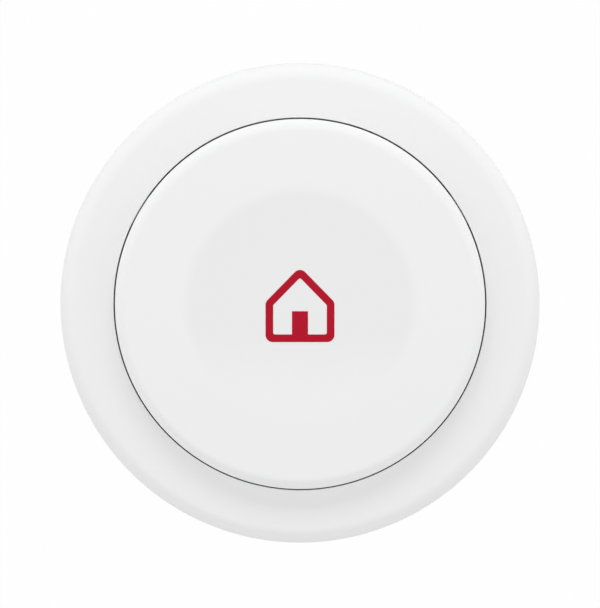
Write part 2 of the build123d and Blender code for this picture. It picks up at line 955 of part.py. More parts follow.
os.makedirs("parts", exist_ok=True)
save("adhesive_pad", make_adhesive_pad())
save("wall_plate", make_wall_plate())
save("steel_ring", make_steel_ring())
save("rear_case", make_rear_case())
save("magnets", *make_magnets())
save("battery_door", make_battery_door())
save("door_seal", make_door_seal())
save("coin_cell", make_coin_cell())
save("contact_positive", make_contact_positive())
save("contact_negative", make_contact_negative())
save("pcb", make_pcb())
save("pcb_screws", *make_pcb_screws())
save("case_screws", *make_case_screws())
save("inner_frame", make_inner_frame())
save("return_springs", *make_return_springs())
save("switch_body", make_switch_body())
save("switch_dome", make_switch_dome())
save("switch_plunger", make_switch_plunger())
save("switch_cover", make_switch_cover())
save("switch_leads", *make_switch_leads())
save("radio_module", make_radio_module())
save("radio_shield", make_radio_shield())
save("chip_antenna", make_chip_antenna())
save("crystal", make_crystal())
save("capacitors", *make_capacitors())
save("resistors", *make_resistors())
save("status_led", make_status_led())
save("light_guide", make_light_guide())
save("pairing_switch", make_pairing_switch())
save("pairing_stem", make_pairing_stem())
save("front_housing", make_front_housing())
save("press_cap", make_press_cap())
save("cap_mark", make_cap_mark())
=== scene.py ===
import bpy
import bmesh
import math
import numpy as np
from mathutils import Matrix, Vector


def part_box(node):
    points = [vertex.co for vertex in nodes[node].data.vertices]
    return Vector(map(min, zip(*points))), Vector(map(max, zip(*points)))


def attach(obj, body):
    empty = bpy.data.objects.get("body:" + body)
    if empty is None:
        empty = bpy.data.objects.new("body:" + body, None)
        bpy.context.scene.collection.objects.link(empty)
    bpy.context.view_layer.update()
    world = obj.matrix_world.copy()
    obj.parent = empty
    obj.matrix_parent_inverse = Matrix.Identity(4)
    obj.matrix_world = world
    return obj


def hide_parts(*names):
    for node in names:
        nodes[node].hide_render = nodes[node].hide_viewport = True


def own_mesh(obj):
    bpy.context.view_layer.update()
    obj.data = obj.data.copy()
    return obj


# A round smart button on its wall plate: white satin shells, a red inlay, metal and rubber inside.
# Lengths in the dictionaries are in millimetres and become metres where a mesh is made.
mm = 0.001
weld = 1e-8  # metres: points nearer than this are one point

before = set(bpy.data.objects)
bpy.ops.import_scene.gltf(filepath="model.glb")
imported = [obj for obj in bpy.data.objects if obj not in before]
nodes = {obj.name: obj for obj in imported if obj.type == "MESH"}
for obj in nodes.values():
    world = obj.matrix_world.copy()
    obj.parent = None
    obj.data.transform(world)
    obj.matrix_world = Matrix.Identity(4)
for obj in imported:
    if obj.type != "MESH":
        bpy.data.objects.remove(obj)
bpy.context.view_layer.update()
print("frame loaded,", len(nodes), "nodes")


def low(node, axis=2):
    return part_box(node)[0][axis] / mm


def high(node, axis=2):
    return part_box(node)[1][axis] / mm


threeAngles = (0, 120, 240)
postAngles = (60, 180, 300)


# surfaces
def roundedPath(corners, closed, spacing=0.8, arcSteps=8):
    # A path through (r, z) corners, each rounded by its own radius: straight runs carry points that
    # crowd towards their ends (half a cosine), arcs carry points at even angles about their centre.
    points = np.array([corner[:2] for corner in corners], float)
    radii = np.array([corner[2] if len(corner) > 2 else 0 for corner in corners], float)
    count = len(points)
    pieces = []
    for index in range(count):
        before, here, after = points[index - 1], points[index], points[(index + 1) % count]
        radius = radii[index]
        if radius == 0 or (not closed and index in (0, count - 1)):
            pieces.append(here[None, :])
            continue
        inward = (before - here) / np.linalg.norm(before - here)
        outward = (after - here) / np.linalg.norm(after - here)
        half = math.acos(np.clip(inward @ outward, -1, 1)) / 2
        centre = here + (inward + outward) / np.linalg.norm(inward + outward) * radius / math.sin(half)
        first = here + inward * radius / math.tan(half) - centre
        last = here + outward * radius / math.tan(half) - centre
        turn = math.atan2(first[0] * last[1] - first[1] * last[0], first @ last)
        angle = math.atan2(first[1], first[0]) + turn * np.linspace(0, 1, arcSteps + 1)
        pieces.append(centre + radius * np.stack([np.cos(angle), np.sin(angle)], 1))
    path = []
    for index in range(count if closed else count - 1):
        start, end = pieces[index][-1], pieces[(index + 1) % count][0]
        steps = max(1, int(np.linalg.norm(end - start) / spacing))
        share = (1 - np.cos(np.pi * np.linspace(0, 1, steps + 2)[1:-1])) / 2
        path += [pieces[index], start + (end - start) * share[:, None]]
    if not closed:
        path.append(pieces[-1])
    return np.concatenate(path)


def meshFromGrid(name, grid, closeRows):
    # grid[row, column] is a point; columns go round and close, rows close only where asked.
    rows, columns = grid.shape[:2]
    index = np.arange(rows * columns).reshape(rows, columns)
    nextRow = np.roll(index, -1, 0)
    nextColumn = np.roll(index, -1, 1)
    corner = np.roll(nextRow, -1, 1)
    faces = np.stack([index, nextColumn, corner, nextRow], -1)
    if not closeRows:
        faces = faces[:-1]
    mesh = bpy.data.meshes.new(name)
    mesh.from_pydata(grid.reshape(-1, 3).tolist(), [], faces.reshape(-1, 4).tolist())
    return mesh


def cleaned(mesh):
    # merges the doubled points at poles, then turns every face outwards
    work = bmesh.new()
    work.from_mesh(mesh)
    bmesh.ops.remove_doubles(work, verts=work.verts, dist=weld)
    bmesh.ops.dissolve_degenerate(work, edges=work.edges, dist=weld / 10)
    bmesh.ops.recalc_face_normals(work, faces=work.faces)
    work.to_mesh(mesh)
    work.free()
    return mesh


def turnedMesh(name, path, closeRows=True, segments=256, centre=(0, 0)):
    # x = r cos a, y = r sin a, z = z: the profile (r, z) carried round the press axis, or round an
    # axis through centre
    angle = np.linspace(0, 2 * np.pi, segments, endpoint=False)
    radius, height = path[:, :1], path[:, 1:]
    grid = np.stack(
        [
            centre[0] + radius * np.cos(angle),
            centre[1] + radius * np.sin(angle),
            height + 0 * angle,
        ],
        -1,
    )
    return cleaned(meshFromGrid(name, grid * mm, closeRows))


def sectorMesh(name, corners, middle, sweep, steps=12):
    # the same carrying of a closed profile, over part of a turn, with its two ends closed
    path = np.array([corner[:2] for corner in corners], float)
    angle = np.radians(middle + sweep * np.linspace(-0.5, 0.5, steps + 1))[:, None]
    grid = np.stack([path[:, 0] * np.cos(angle), path[:, 0] * np.sin(angle), path[:, 1] + 0 * angle], -1)
    rows, columns = grid.shape[:2]
    index = np.arange(rows * columns).reshape(rows, columns)
    around = np.roll(index, -1, 1)
    faces = np.stack([index[:-1], around[:-1], around[1:], index[1:]], -1).reshape(-1, 4).tolist()
    faces += [index[0].tolist(), index[-1].tolist()]
    mesh = bpy.data.meshes.new(name)
    mesh.from_pydata((grid.reshape(-1, 3) * mm).tolist(), [], faces)
    return cleaned(mesh)


def prismMesh(name, outline, bottom, top):
    # a flat outline (x, y) carried from one height to another
    count = len(outline)
    points = np.concatenate([np.c_[outline, np.full(count, bottom)], np.c_[outline, np.full(count, top)]])
    index = np.arange(count)
    around = np.roll(index, -1)
    faces = np.stack([index, around, around + count, index + count], -1).tolist()
    faces += [index.tolist(), (index + count).tolist()]
    mesh = bpy.data.meshes.new(name)
    mesh.from_pydata((points * mm).tolist(), [], faces)
    return cleaned(mesh)


def polar(circle, angle):
    return circle * math.cos(math.radians(angle)), circle * math.sin(math.radians(angle))


def columnMesh(radius, bottom, top, circle=0, angle=0, segments=48):
    # half a rectangle carried round its own axis, which stands on the given circle
    path = np.array([(0, bottom), (radius, bottom), (radius, top), (0, top)], float)
    return turnedMesh("column", path, False, segments, polar(circle, angle))


def spokeMesh(inner, outer, width, bottom, top, angle):
    # a rectangle along a radius, turned by the angle and carried upwards
    turn = math.radians(angle)
    outline = np.array([(inner, -width / 2), (outer, -width / 2), (outer, width / 2), (inner, width / 2)])
    spin = np.array([[math.cos(turn), math.sin(turn)], [-math.sin(turn), math.cos(turn)]])
    return prismMesh("spoke", outline @ spin, bottom, top)


def joined(meshes):
    # several closed shapes in one mesh, so that one Boolean takes them all
    work = bmesh.new()
    for mesh in meshes:
        work.from_mesh(mesh)
    whole = bpy.data.meshes.new("tools")
    work.to_mesh(whole)
    work.free()
    return whole


def newPiece(name, mesh, body, slot, stands, material, adds=(), cuts=(), sharp=28):
    # a finished piece: Booleans applied, smooth except past the sharp angle, riding on its body
    piece = bpy.data.objects.new(name, mesh)
    bpy.context.scene.collection.objects.link(piece)
    for operation, tools in (("UNION", adds), ("DIFFERENCE", cuts)):
        for shape in tools:
            helper = bpy.data.objects.new("helper", shape)
            bpy.context.scene.collection.objects.link(helper)
            step = piece.modifiers.new(operation.lower(), "BOOLEAN")
            step.operation = operation
            step.solver = "EXACT"
            step.object = helper
            depsgraph = bpy.context.evaluated_depsgraph_get()
            result = bpy.data.meshes.new_from_object(piece.evaluated_get(depsgraph))
            piece.modifiers.clear()
            piece.data = result
            bpy.data.objects.remove(helper)
    piece.data.name = name
    piece.data.shade_smooth()
    piece.data.set_sharp_from_angle(angle=math.radians(sharp))
    piece.data.materials.clear()
    piece.data.materials.append(material)
    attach(piece, body)
    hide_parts(*stands)
    return piece


# materials
def group(name, inputs):
    # a node group that reads Object coordinates and puts out a Height and a Tone, both from 0 to 1
    tree = bpy.data.node_groups.new(name, "ShaderNodeTree")
    for label, value in inputs.items():
        socket = tree.interface.new_socket(label, in_out="INPUT", socket_type="NodeSocketFloat")
        socket.default_value = value
    for label in ("Height", "Tone"):
        tree.interface.new_socket(label, in_out="OUTPUT", socket_type="NodeSocketFloat")
    place = tree.nodes.new("ShaderNodeTexCoord").outputs["Object"]
    return tree, tree.nodes.new("NodeGroupInput").outputs, tree.nodes.new("NodeGroupOutput").inputs, place


def math2(tree, operation, first, second):
    node = tree.nodes.new("ShaderNodeMath")
    node.operation = operation
    for socket, value in zip(node.inputs, (first, second)):
        if isinstance(value, (int, float)):
            socket.default_value = value
        else:
            tree.links.new(value, socket)
    return node.outputs[0]


def noise(tree, place, scale, detail, stretch=None):
    node = tree.nodes.new("ShaderNodeTexNoise")
    node.inputs["Detail"].default_value = detail
    if stretch:
        longer = tree.nodes.new("ShaderNodeVectorMath")
        longer.operation = "MULTIPLY"
        longer.inputs[1].default_value = stretch
        tree.links.new(place, longer.inputs[0])
        place = longer.outputs[0]
    tree.links.new(place, node.inputs["Vector"])
    tree.links.new(scale, node.inputs["Scale"])
    return node.outputs[0]


def makeMouldedGrain():
    # the skin that a spark-eroded mould leaves: fine noise for height, a slow drift for tone
    tree, given, out, place = group("mouldedGrain", {"Grain": 9000, "Drift": 60})
    tree.links.new(noise(tree, place, given["Grain"], 2), out["Height"])
    tree.links.new(noise(tree, place, given["Drift"], 3), out["Tone"])
    return tree


brush = {"fineStretch": (0.04, 1, 1), "broadStretch": (0.08, 1, 1)}


def makeBrushedMarks():
    # noise drawn out along X, as on brushed or rolled strip
    tree, given, out, place = group("brushedMarks", {"Fine": 2500, "Broad": 300})
    tree.links.new(noise(tree, place, given["Fine"], 3, brush["fineStretch"]), out["Height"])
    tree.links.new(noise(tree, place, given["Broad"], 2, brush["broadStretch"]), out["Tone"])
    return tree


def makeLatheMarks():
    # noise of the distance from the press axis, as turned and pressed round metal shows
    tree, given, out, place = group("latheMarks", {"Rings": 6000, "Drift": 200})
    split = tree.nodes.new("ShaderNodeSeparateXYZ")
    tree.links.new(place, split.inputs[0])
    across = math2(tree, "MULTIPLY", split.outputs[0], split.outputs[0])
    upward = math2(tree, "MULTIPLY", split.outputs[1], split.outputs[1])
    radius = math2(tree, "SQRT", math2(tree, "ADD", across, upward), 0)
    node = tree.nodes.new("ShaderNodeTexNoise")
    node.noise_dimensions = "1D"
    tree.links.new(math2(tree, "MULTIPLY", radius, given["Rings"]), node.inputs["W"])
    tree.links.new(node.outputs[0], out["Height"])
    tree.links.new(noise(tree, place, given["Drift"], 3), out["Tone"])
    return tree


def makeFoamCells():
    # round closed cells, deep in their middles; the tone is darkest in those deep middles, painted shade
    # in the pits, under a slow random drift
    tree, given, out, place = group("foamCells", {"Cells": 3500, "Drift": 200})
    cells = tree.nodes.new("ShaderNodeTexVoronoi")
    tree.links.new(place, cells.inputs["Vector"])
    tree.links.new(given["Cells"], cells.inputs["Scale"])
    tree.links.new(cells.outputs["Distance"], out["Height"])
    drift = noise(tree, place, given["Drift"], 3)
    # painted shade: the random drift times the distance from each cell's middle, so the pits come out
    # darker
    tree.links.new(math2(tree, "MULTIPLY", drift, cells.outputs["Distance"]), out["Tone"])
    return tree


def makeBoardTracks():
    # copper lines under the solder mask, raised at the crests of either of two bands of waves
    tree, given, out, place = group("boardTracks", {"Tracks": 420, "Bends": 4, "Crest": 0.8})
    lines = []
    for direction in ("X", "Y"):
        wave = tree.nodes.new("ShaderNodeTexWave")
        wave.bands_direction = direction
        tree.links.new(place, wave.inputs["Vector"])
        tree.links.new(given["Tracks"], wave.inputs["Scale"])
        tree.links.new(given["Bends"], wave.inputs["Distortion"])
        lines.append(math2(tree, "GREATER_THAN", wave.outputs["Fac"], given["Crest"]))
    either = math2(tree, "MAXIMUM", *lines)
    tree.links.new(either, out["Height"])
    tree.links.new(either, out["Tone"])
    return tree


patterns = {
    "moulded": makeMouldedGrain(),
    "brushed": makeBrushedMarks(),
    "lathe": makeLatheMarks(),
    "foam": makeFoamCells(),
    "tracks": makeBoardTracks(),
}


def ranged(material, value, lowest, highest):
    node = material.node_tree.nodes.new("ShaderNodeMapRange")
    node.inputs["To Min"].default_value = lowest
    node.inputs["To Max"].default_value = highest
    material.node_tree.links.new(value, node.inputs["Value"])
    return node.outputs[0]


def tinted(material, value, first, second):
    node = material.node_tree.nodes.new("ShaderNodeMix")
    node.data_type = "RGBA"
    node.inputs[6].default_value = (*first, 1)  # the colour sockets A and B
    node.inputs[7].default_value = (*second, 1)
    material.node_tree.links.new(value, node.inputs[0])
    return node.outputs[2]


def bumped(material, height, depth, strength):
    node = material.node_tree.nodes.new("ShaderNodeBump")
    node.inputs["Strength"].default_value = strength
    node.inputs["Distance"].default_value = depth
    material.node_tree.links.new(height, node.inputs["Height"])
    return node.outputs[0]


def makeFinish(name, look):
    # the pattern's Tone runs from shade to colour and through the roughness, its Height is the bump
    material = bpy.data.materials.new(name)
    material.use_nodes = True
    tree = material.node_tree
    shader = tree.nodes["Principled BSDF"]
    pattern = tree.nodes.new("ShaderNodeGroup")
    pattern.node_tree = patterns[look["pattern"]]
    for label, value in look.get("scales", {}).items():
        pattern.inputs[label].default_value = value
    colour = tinted(material, pattern.outputs["Tone"], look["shade"], look["colour"])
    tree.links.new(colour, shader.inputs["Base Color"])
    roughness = ranged(material, pattern.outputs["Tone"], *look["roughness"])
    tree.links.new(roughness, shader.inputs["Roughness"])
    normal = bumped(material, pattern.outputs["Height"], look["depth"], look["bump"])
    tree.links.new(normal, shader.inputs["Normal"])
    for label, value in look.get("fixed", {}).items():
        shader.inputs[label].default_value = value
    return material


# the finishes of this button's pieces; depth is the bump's, in metres
whiteShell = {
    "pattern": "moulded",
    "colour": (0.876, 0.876, 0.878),
    "shade": (0.87, 0.87, 0.872),
    "roughness": (0.44, 0.5),
    "depth": 0.000004,
    "bump": 0.2,
    "fixed": {"Specular IOR Level": 0.4},
}
plainMoulding = {**whiteShell, "scales": {"Grain": 6000}, "roughness": (0.5, 0.62), "bump": 0.4}
plainMetal = {
    "pattern": "brushed",
    "colour": (0.6, 0.6, 0.61),
    "shade": (0.5, 0.5, 0.51),
    "roughness": (0.22, 0.38),
    "depth": 0.000004,
    "bump": 0.25,
    "fixed": {"Metallic": 1.0},
}
finishes = {
    "capWhite": whiteShell,
    "ringWhite": whiteShell,
    "caseWhite": {**plainMoulding, "colour": (0.86, 0.86, 0.863), "shade": (0.84, 0.84, 0.843)},
    "plateWhite": {**plainMoulding, "colour": (0.84, 0.84, 0.843), "shade": (0.8, 0.8, 0.803)},
    "markRed": {
        **whiteShell,
        "colour": (0.45, 0.006, 0.023),
        "shade": (0.43, 0.005, 0.021),
        "roughness": (0.5, 0.56),
        "fixed": {"Specular IOR Level": 0.12},
    },
    "frameBlack": {**plainMoulding, "colour": (0.06, 0.06, 0.065), "shade": (0.04, 0.04, 0.043)},
    "switchBlack": {**plainMoulding, "colour": (0.035, 0.035, 0.04), "shade": (0.02, 0.02, 0.022)},
    "stemIvory": {**plainMoulding, "colour": (0.75, 0.74, 0.7), "shade": (0.68, 0.67, 0.62)},
    "foamWhite": {
        "pattern": "foam",
        "colour": (0.86, 0.86, 0.84),
        "shade": (0.72, 0.72, 0.69),
        "roughness": (0.9, 0.75),
        "depth": 0.00004,
        "bump": 0.6,
    },
    "sealBlack": {**plainMoulding, "colour": (0.05, 0.05, 0.05), "shade": (0.03, 0.03, 0.03)},
    "zincSteel": plainMetal,
    "springSteel": {**plainMetal, "colour": (0.42, 0.42, 0.43), "shade": (0.34, 0.34, 0.35)},
    "keeperSteel": {
        **plainMetal,
        "pattern": "lathe",
        "colour": (0.5, 0.5, 0.51),
        "shade": (0.32, 0.32, 0.33),
        "roughness": (0.25, 0.42),
        "bump": 0.5,
    },
    "cellSteel": {
        **plainMetal,
        "pattern": "lathe",
        "colour": (0.7, 0.69, 0.67),
        "shade": (0.62, 0.61, 0.59),
        "roughness": (0.2, 0.3),
    },
    "stripNickel": {**plainMetal, "colour": (0.72, 0.69, 0.62), "shade": (0.62, 0.59, 0.52)},
    "magnetNickel": {**plainMetal, "colour": (0.7, 0.69, 0.68), "roughness": (0.1, 0.2), "bump": 0.1},
    "boardGreen": {
        "pattern": "tracks",
        "colour": (0.03, 0.22, 0.09),
        "shade": (0.012, 0.12, 0.05),
        "roughness": (0.35, 0.3),
        "depth": 0.00003,
        "bump": 0.5,
        "fixed": {"Coat Weight": 0.3},
    },
    "ceramicPale": {**plainMoulding, "colour": (0.85, 0.86, 0.84), "roughness": (0.2, 0.3)},
    "ceramicTan": {**plainMoulding, "colour": (0.45, 0.33, 0.2), "shade": (0.36, 0.25, 0.14)},
    "ledResin": {**plainMoulding, "colour": (0.9, 0.86, 0.6), "roughness": (0.15, 0.25)},
    "guideClear": {
        **plainMoulding,
        "colour": (0.94, 0.96, 0.97),
        "shade": (0.92, 0.94, 0.95),
        "roughness": (0.05, 0.1),
        "bump": 0.05,
        "fixed": {"Transmission Weight": 0.9, "IOR": 1.49},
    },
}
finish = {name: makeFinish(name, look) for name, look in finishes.items()}
# painted shade in the cap's dish: the circle it covers and its soft edge, how much it darkens the colour,
# and where it fades out towards the lower side; lengths in millimetres
dish = {"radius": 14.2, "edge": 0.9, "paintedShadeStrength": 0.038, "fadeStart": -3.0, "fadeEnd": -11.5}


def softStep(tree, value, start, end):
    # 0 up to start, 1 from end on, smooth between; start and end are places on the button
    node = tree.nodes.new("ShaderNodeMapRange")
    node.interpolation_type = "SMOOTHSTEP"
    node.inputs["From Min"].default_value = start * mm
    node.inputs["From Max"].default_value = end * mm
    tree.links.new(value, node.inputs["Value"])
    return node.outputs[0]


def paintDishShade():
    # painted shade: the dish's base colour is made a little darker, standing in for the shade in the
    # dish;
    # the painted shade fades out towards the dish's lower side, which faces the key light
    material = finish["capWhite"]
    tree = material.node_tree
    split = tree.nodes.new("ShaderNodeSeparateXYZ")
    place = tree.nodes.new("ShaderNodeTexCoord")
    tree.links.new(place.outputs["Object"], split.inputs[0])
    across = math2(tree, "MULTIPLY", split.outputs[0], split.outputs[0])
    upward = math2(tree, "MULTIPLY", split.outputs[1], split.outputs[1])
    radius = math2(tree, "SQRT", math2(tree, "ADD", across, upward), 0)
    outside = softStep(tree, radius, dish["radius"] - dish["edge"], dish["radius"] + dish["edge"])
    shadeKept = softStep(tree, split.outputs[1], dish["fadeEnd"], dish["fadeStart"])
    paintedShade = math2(tree, "MULTIPLY", math2(tree, "SUBTRACT", 1, outside), shadeKept)
    # the base colour is scaled down where the painted shade lies
    share = math2(tree, "SUBTRACT", 1, math2(tree, "MULTIPLY", paintedShade, dish["paintedShadeStrength"]))
    shader = tree.nodes["Principled BSDF"]
    colour = shader.inputs["Base Color"].links[0].from_socket
    scaled = tree.nodes.new("ShaderNodeVectorMath")
    scaled.operation = "SCALE"
    tree.links.new(colour, scaled.inputs[0])
    tree.links.new(share, scaled.inputs["Scale"])
    tree.links.new(scaled.outputs[0], shader.inputs["Base Color"])


# painted shade in the cap's dish
paintDishShade()
print("finishes made,", len(finish))

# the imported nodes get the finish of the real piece; the ones that a piece below replaces are hidden
nodeFinishes = {
    "caseWhite": ["rear_case", "battery_door"],
    "plateWhite": ["wall_plate"],
    "capWhite": ["press_cap"],
    "ringWhite": ["front_housing"],
    "markRed": ["cap_mark"],
    "frameBlack": ["inner_frame"],
    "switchBlack": ["switch_body", "resistors", "pairing_switch"],
    "stemIvory": ["switch_plunger", "pairing_stem"],
    "foamWhite": ["adhesive_pad"],
    "sealBlack": ["door_seal"],
    "zincSteel": ["pcb_screws", "case_screws"],
    "springSteel": ["return_springs"],
    "keeperSteel": ["steel_ring"],
    "cellSteel": ["coin_cell"],
    "stripNickel": [
        "contact_positive",
        "contact_negative",
        "switch_dome",
        "switch_cover",
        "switch_leads",
        "radio_shield",
        "crystal",
    ],
    "magnetNickel": ["magnets"],
    "boardGreen": ["pcb", "radio_module"],
    "ceramicPale": ["chip_antenna"],
    "ceramicTan": ["capacitors"],
    "ledResin": ["status_led"],
    "guideClear": ["light_guide"],
}
for name, wearers in nodeFinishes.items():
    for wearer in wearers:
        for place in nodes[wearer].material_slots:
            place.material = finish[name]
print("nodes finished")

# cap, and the ring and side wall round it
fine = {"spacing": 0.5, "arcSteps": 14}
cap = {
    "segments": 320,
    "radius": 23.125,
    "plate": 1.8,
    "edgeRadius": 1.4,
    "skirtWall": 1.2,
    "skirtLength": 3.2,
    "dishRadius": 15.6,
    "dishDepth": 0.35,
    "dishFloorShare": 0.62,
    "dishEdgeShare": 0.86,
    "edgeBreak": 0.15,
    "innerRadius": 0.4,
    "proud": 2.0,
    "postRadius": 2.2,
    "postLength": 0.8,
    "pinRadius": 1.4,
    "pinLength": 1.2,
    "ribWidth": 1.0,
    "ribHeight": 0.8,
    "ribTurn": 90,
    "hookLip": 0.875,
    "hookInset": 0.25,
    "hookHeight": 0.8,
    "hookSlack": 0.05,
    "hookSweep": 14,
    "springCircle": 17.5,
    "sink": 0.2,
}
housing = {
    "segments": 384,
    "gap": 0.18,
    "fall": 0.35,
    "edgeRadius": 2.0,
    "wall": 1.8,
    "plate": 1.6,
    "collarWall": 1.2,
    "collarPastSkirt": 0.5,
    "seamDepth": 0.3,
    "seamWidth": 0.3,
    "seamRadius": 0.05,
    "edgeBreak": 0.08,
    "innerRadius": 0.4,
    "ribWidth": 1.0,
    "ribHeight": 2.2,
    "ribCount": 12,
    "keyWidth": 2.0,
    "keyHeight": 1.5,
    "keyGap": 0.3,
    "keyAngle": 270,
    "bossCircle": 25.9,
    "bossRadius": 2.0,
    "bossBottom": 5.2,
    "pilotRadius": 1.02,
    "pilotTop": 10.7,
    "sink": 0.2,
}
capTop = high("press_cap")
capUnder = capTop - cap["plate"]
ringTop = capTop - cap["proud"]
skirtBottom = capUnder - cap["skirtLength"]
boreRadius = cap["radius"] + housing["gap"]
bodyRadius = high("front_housing", 0)
seam = low("front_housing")


def dishPath(steps=48):
    # cubic curve from the dish's centre to its edge, level at both ends
    lowest, highest = capTop - cap["dishDepth"], capTop
    radius = cap["dishRadius"]
    controls = np.array(
        [
            (0, lowest),
            (cap["dishFloorShare"] * radius, lowest),
            (cap["dishEdgeShare"] * radius, highest),
            (radius, highest),
        ]
    )
    t = np.linspace(0, 1, steps + 1)[:, None]
    weights = np.concatenate([(1 - t) ** 3, 3 * t * (1 - t) ** 2, 3 * t**2 * (1 - t), t**3], 1)
    return weights @ controls


def hookMesh(angle):
    # hangs from inside the skirt and reaches out under the collar
    inner = cap["radius"] - cap["skirtWall"] + cap["hookInset"]
    outer = cap["radius"] - cap["hookInset"]
    reach = cap["radius"] + cap["hookLip"]
    top = skirtBottom - housing["collarPastSkirt"] - cap["hookSlack"]
    bottom = top - cap["hookHeight"]
    into = skirtBottom + cap["sink"]
    corners = [(inner, bottom), (reach, bottom), (reach, top), (outer, top), (outer, into), (inner, into)]
    return sectorMesh("hook", corners, angle, cap["hookSweep"])


def makeCap():
    # dish curve, rounded edge, skirt and underside carried round; then post, spring pins, hooks and ribs
    skirtInner = cap["radius"] - cap["skirtWall"]
    rest = roundedPath(
        [
            (cap["dishRadius"], capTop),
            (cap["radius"], capTop, cap["edgeRadius"]),
            (cap["radius"], skirtBottom, cap["edgeBreak"]),
            (skirtInner, skirtBottom),
            (skirtInner, capUnder, cap["innerRadius"]),
            (0, capUnder),
        ],
        closed=False,
        **fine,
    )
    path = np.concatenate([dishPath()[:-1], rest])
    mesh = turnedMesh("cap", path, False, cap["segments"])
    into = capUnder + cap["sink"]
    adds = [columnMesh(cap["postRadius"], capUnder - cap["postLength"], into)]
    parts = [
        columnMesh(cap["pinRadius"], capUnder - cap["pinLength"], into, cap["springCircle"], angle)
        for angle in threeAngles
    ]
    adds.append(joined(parts + [hookMesh(angle) for angle in postAngles]))
    for angle in threeAngles:
        reach, bottom = skirtInner + cap["sink"], capUnder - cap["ribHeight"]
        adds.append(spokeMesh(0, reach, cap["ribWidth"], bottom, into, angle + cap["ribTurn"]))
    return newPiece("cap", mesh, "press_cap", "cap_plastic", ["press_cap"], finish["capWhite"], adds)


makeCap()
print("cap made")


def makeHousing():
    # closed profile of side wall, ring and collar carried round; then ribs, screw bosses and cap key
    outerTop = ringTop - housing["fall"]
    wallInner = bodyRadius - housing["wall"]
    collarOuter = boreRadius + housing["collarWall"]
    collarBottom = skirtBottom - housing["collarPastSkirt"]
    grooveRadius = bodyRadius - housing["seamDepth"]
    path = roundedPath(
        [
            (wallInner, seam),
            (grooveRadius, seam),
            (grooveRadius, seam + housing["seamWidth"], housing["seamRadius"]),
            (bodyRadius, seam + housing["seamWidth"], housing["edgeBreak"]),
            (bodyRadius, outerTop, housing["edgeRadius"]),
            (boreRadius, ringTop, housing["edgeBreak"]),
            (boreRadius, collarBottom, housing["edgeBreak"]),
            (collarOuter, collarBottom),
            (collarOuter, ringTop - housing["plate"], housing["innerRadius"]),
            (wallInner, outerTop - housing["plate"], housing["innerRadius"]),
        ],
        closed=True,
        **fine,
    )
    mesh = turnedMesh("housing", path, True, housing["segments"])
    underside = outerTop - housing["plate"]
    sink = housing["sink"]
    ribs = [
        spokeMesh(
            collarOuter - sink,
            wallInner + sink,
            housing["ribWidth"],
            underside - housing["ribHeight"],
            underside + sink,
            (index + 1 / 2) * 360 / housing["ribCount"],
        )
        for index in range(housing["ribCount"])
    ]
    keyInner = cap["radius"] - cap["skirtWall"] + housing["keyGap"]
    keyTop = collarBottom + housing["keyHeight"]
    keyShape = (keyInner, boreRadius + sink, housing["keyWidth"], collarBottom, keyTop)
    key = spokeMesh(*keyShape, housing["keyAngle"])
    bottom, circle = housing["bossBottom"], housing["bossCircle"]
    bosses = [
        columnMesh(housing["bossRadius"], bottom, ringTop - housing["plate"], circle, angle)
        for angle in threeAngles
    ]
    pilots = [
        columnMesh(housing["pilotRadius"], bottom - sink, housing["pilotTop"], circle, angle)
        for angle in threeAngles
    ]
    adds = [joined(ribs + bosses), key]
    wearing = ("device", "ring_plastic", ["front_housing"], finish["ringWhite"])
    return newPiece("housing", mesh, *wearing, adds, [joined(pilots)])


makeHousing()
print("housing made")

# the two soft pieces: the foam pad on the back of the wall plate and the seal under the door
pad = {
    "cornerRadius": 0.12,
    "waist": 0.1,
    "holeCircle": 12.0,
    "holeRadius": 4.4,
    "holeAngles": (0, 180),
    "holeSegments": 96,
    "overrun": 1.0,
}
seal = {"steps": 32, "flat": 0.9, "sharp": 60}


def makePad():
    # die-cut foam: its cut edge draws in a little between the two faces
    bottom, top, radius = low("adhesive_pad"), high("adhesive_pad"), high("adhesive_pad", 0)
    path = roundedPath(
        [
            (0, bottom),
            (radius, bottom, pad["cornerRadius"]),
            (radius - pad["waist"], (bottom + top) / 2, pad["cornerRadius"]),
            (radius, top, pad["cornerRadius"]),
            (0, top),
        ],
        closed=False,
    )
    mesh = turnedMesh("pad", path, False)
    hole = (pad["holeRadius"], bottom - pad["overrun"], top + pad["overrun"], pad["holeCircle"])
    holes = [columnMesh(*hole, angle, pad["holeSegments"]) for angle in pad["holeAngles"]]
    wearing = ("wall_mount", "foam", ["adhesive_pad"], finish["foamWhite"])
    newPiece("pad", mesh, *wearing, cuts=[joined(holes)])


def makeSeal():
    # a ring of round section, pressed a little flat between the door and the case:
    # r = circle + section cos t, z = middle + section * flat * sin t
    middle = (low("door_seal") + high("door_seal")) / 2
    section = (high("door_seal") - low("door_seal")) / 2
    circle = high("door_seal", 0) - section
    turn = np.linspace(0, 2 * np.pi, seal["steps"], endpoint=False)
    path = np.stack([circle + section * np.cos(turn), middle + section * seal["flat"] * np.sin(turn)], 1)
    mesh = turnedMesh("seal", path)
    wearing = ("battery_door", "seal_rubber", ["door_seal"], finish["sealBlack"])
    newPiece("seal", mesh, *wearing, sharp=seal["sharp"])


makePad()
makeSeal()
print("pad and seal made")

# springs and snap dome, which give way under the cap
spring = {
    "radius": 1.9,
    "wire": 0.2,
    "turns": 4,
    "travel": 0.5,
    "steps": 40,
    "around": 12,
    "sharp": 60,
}
dome = {"metal": 0.12, "steps": 24, "segments": 96}


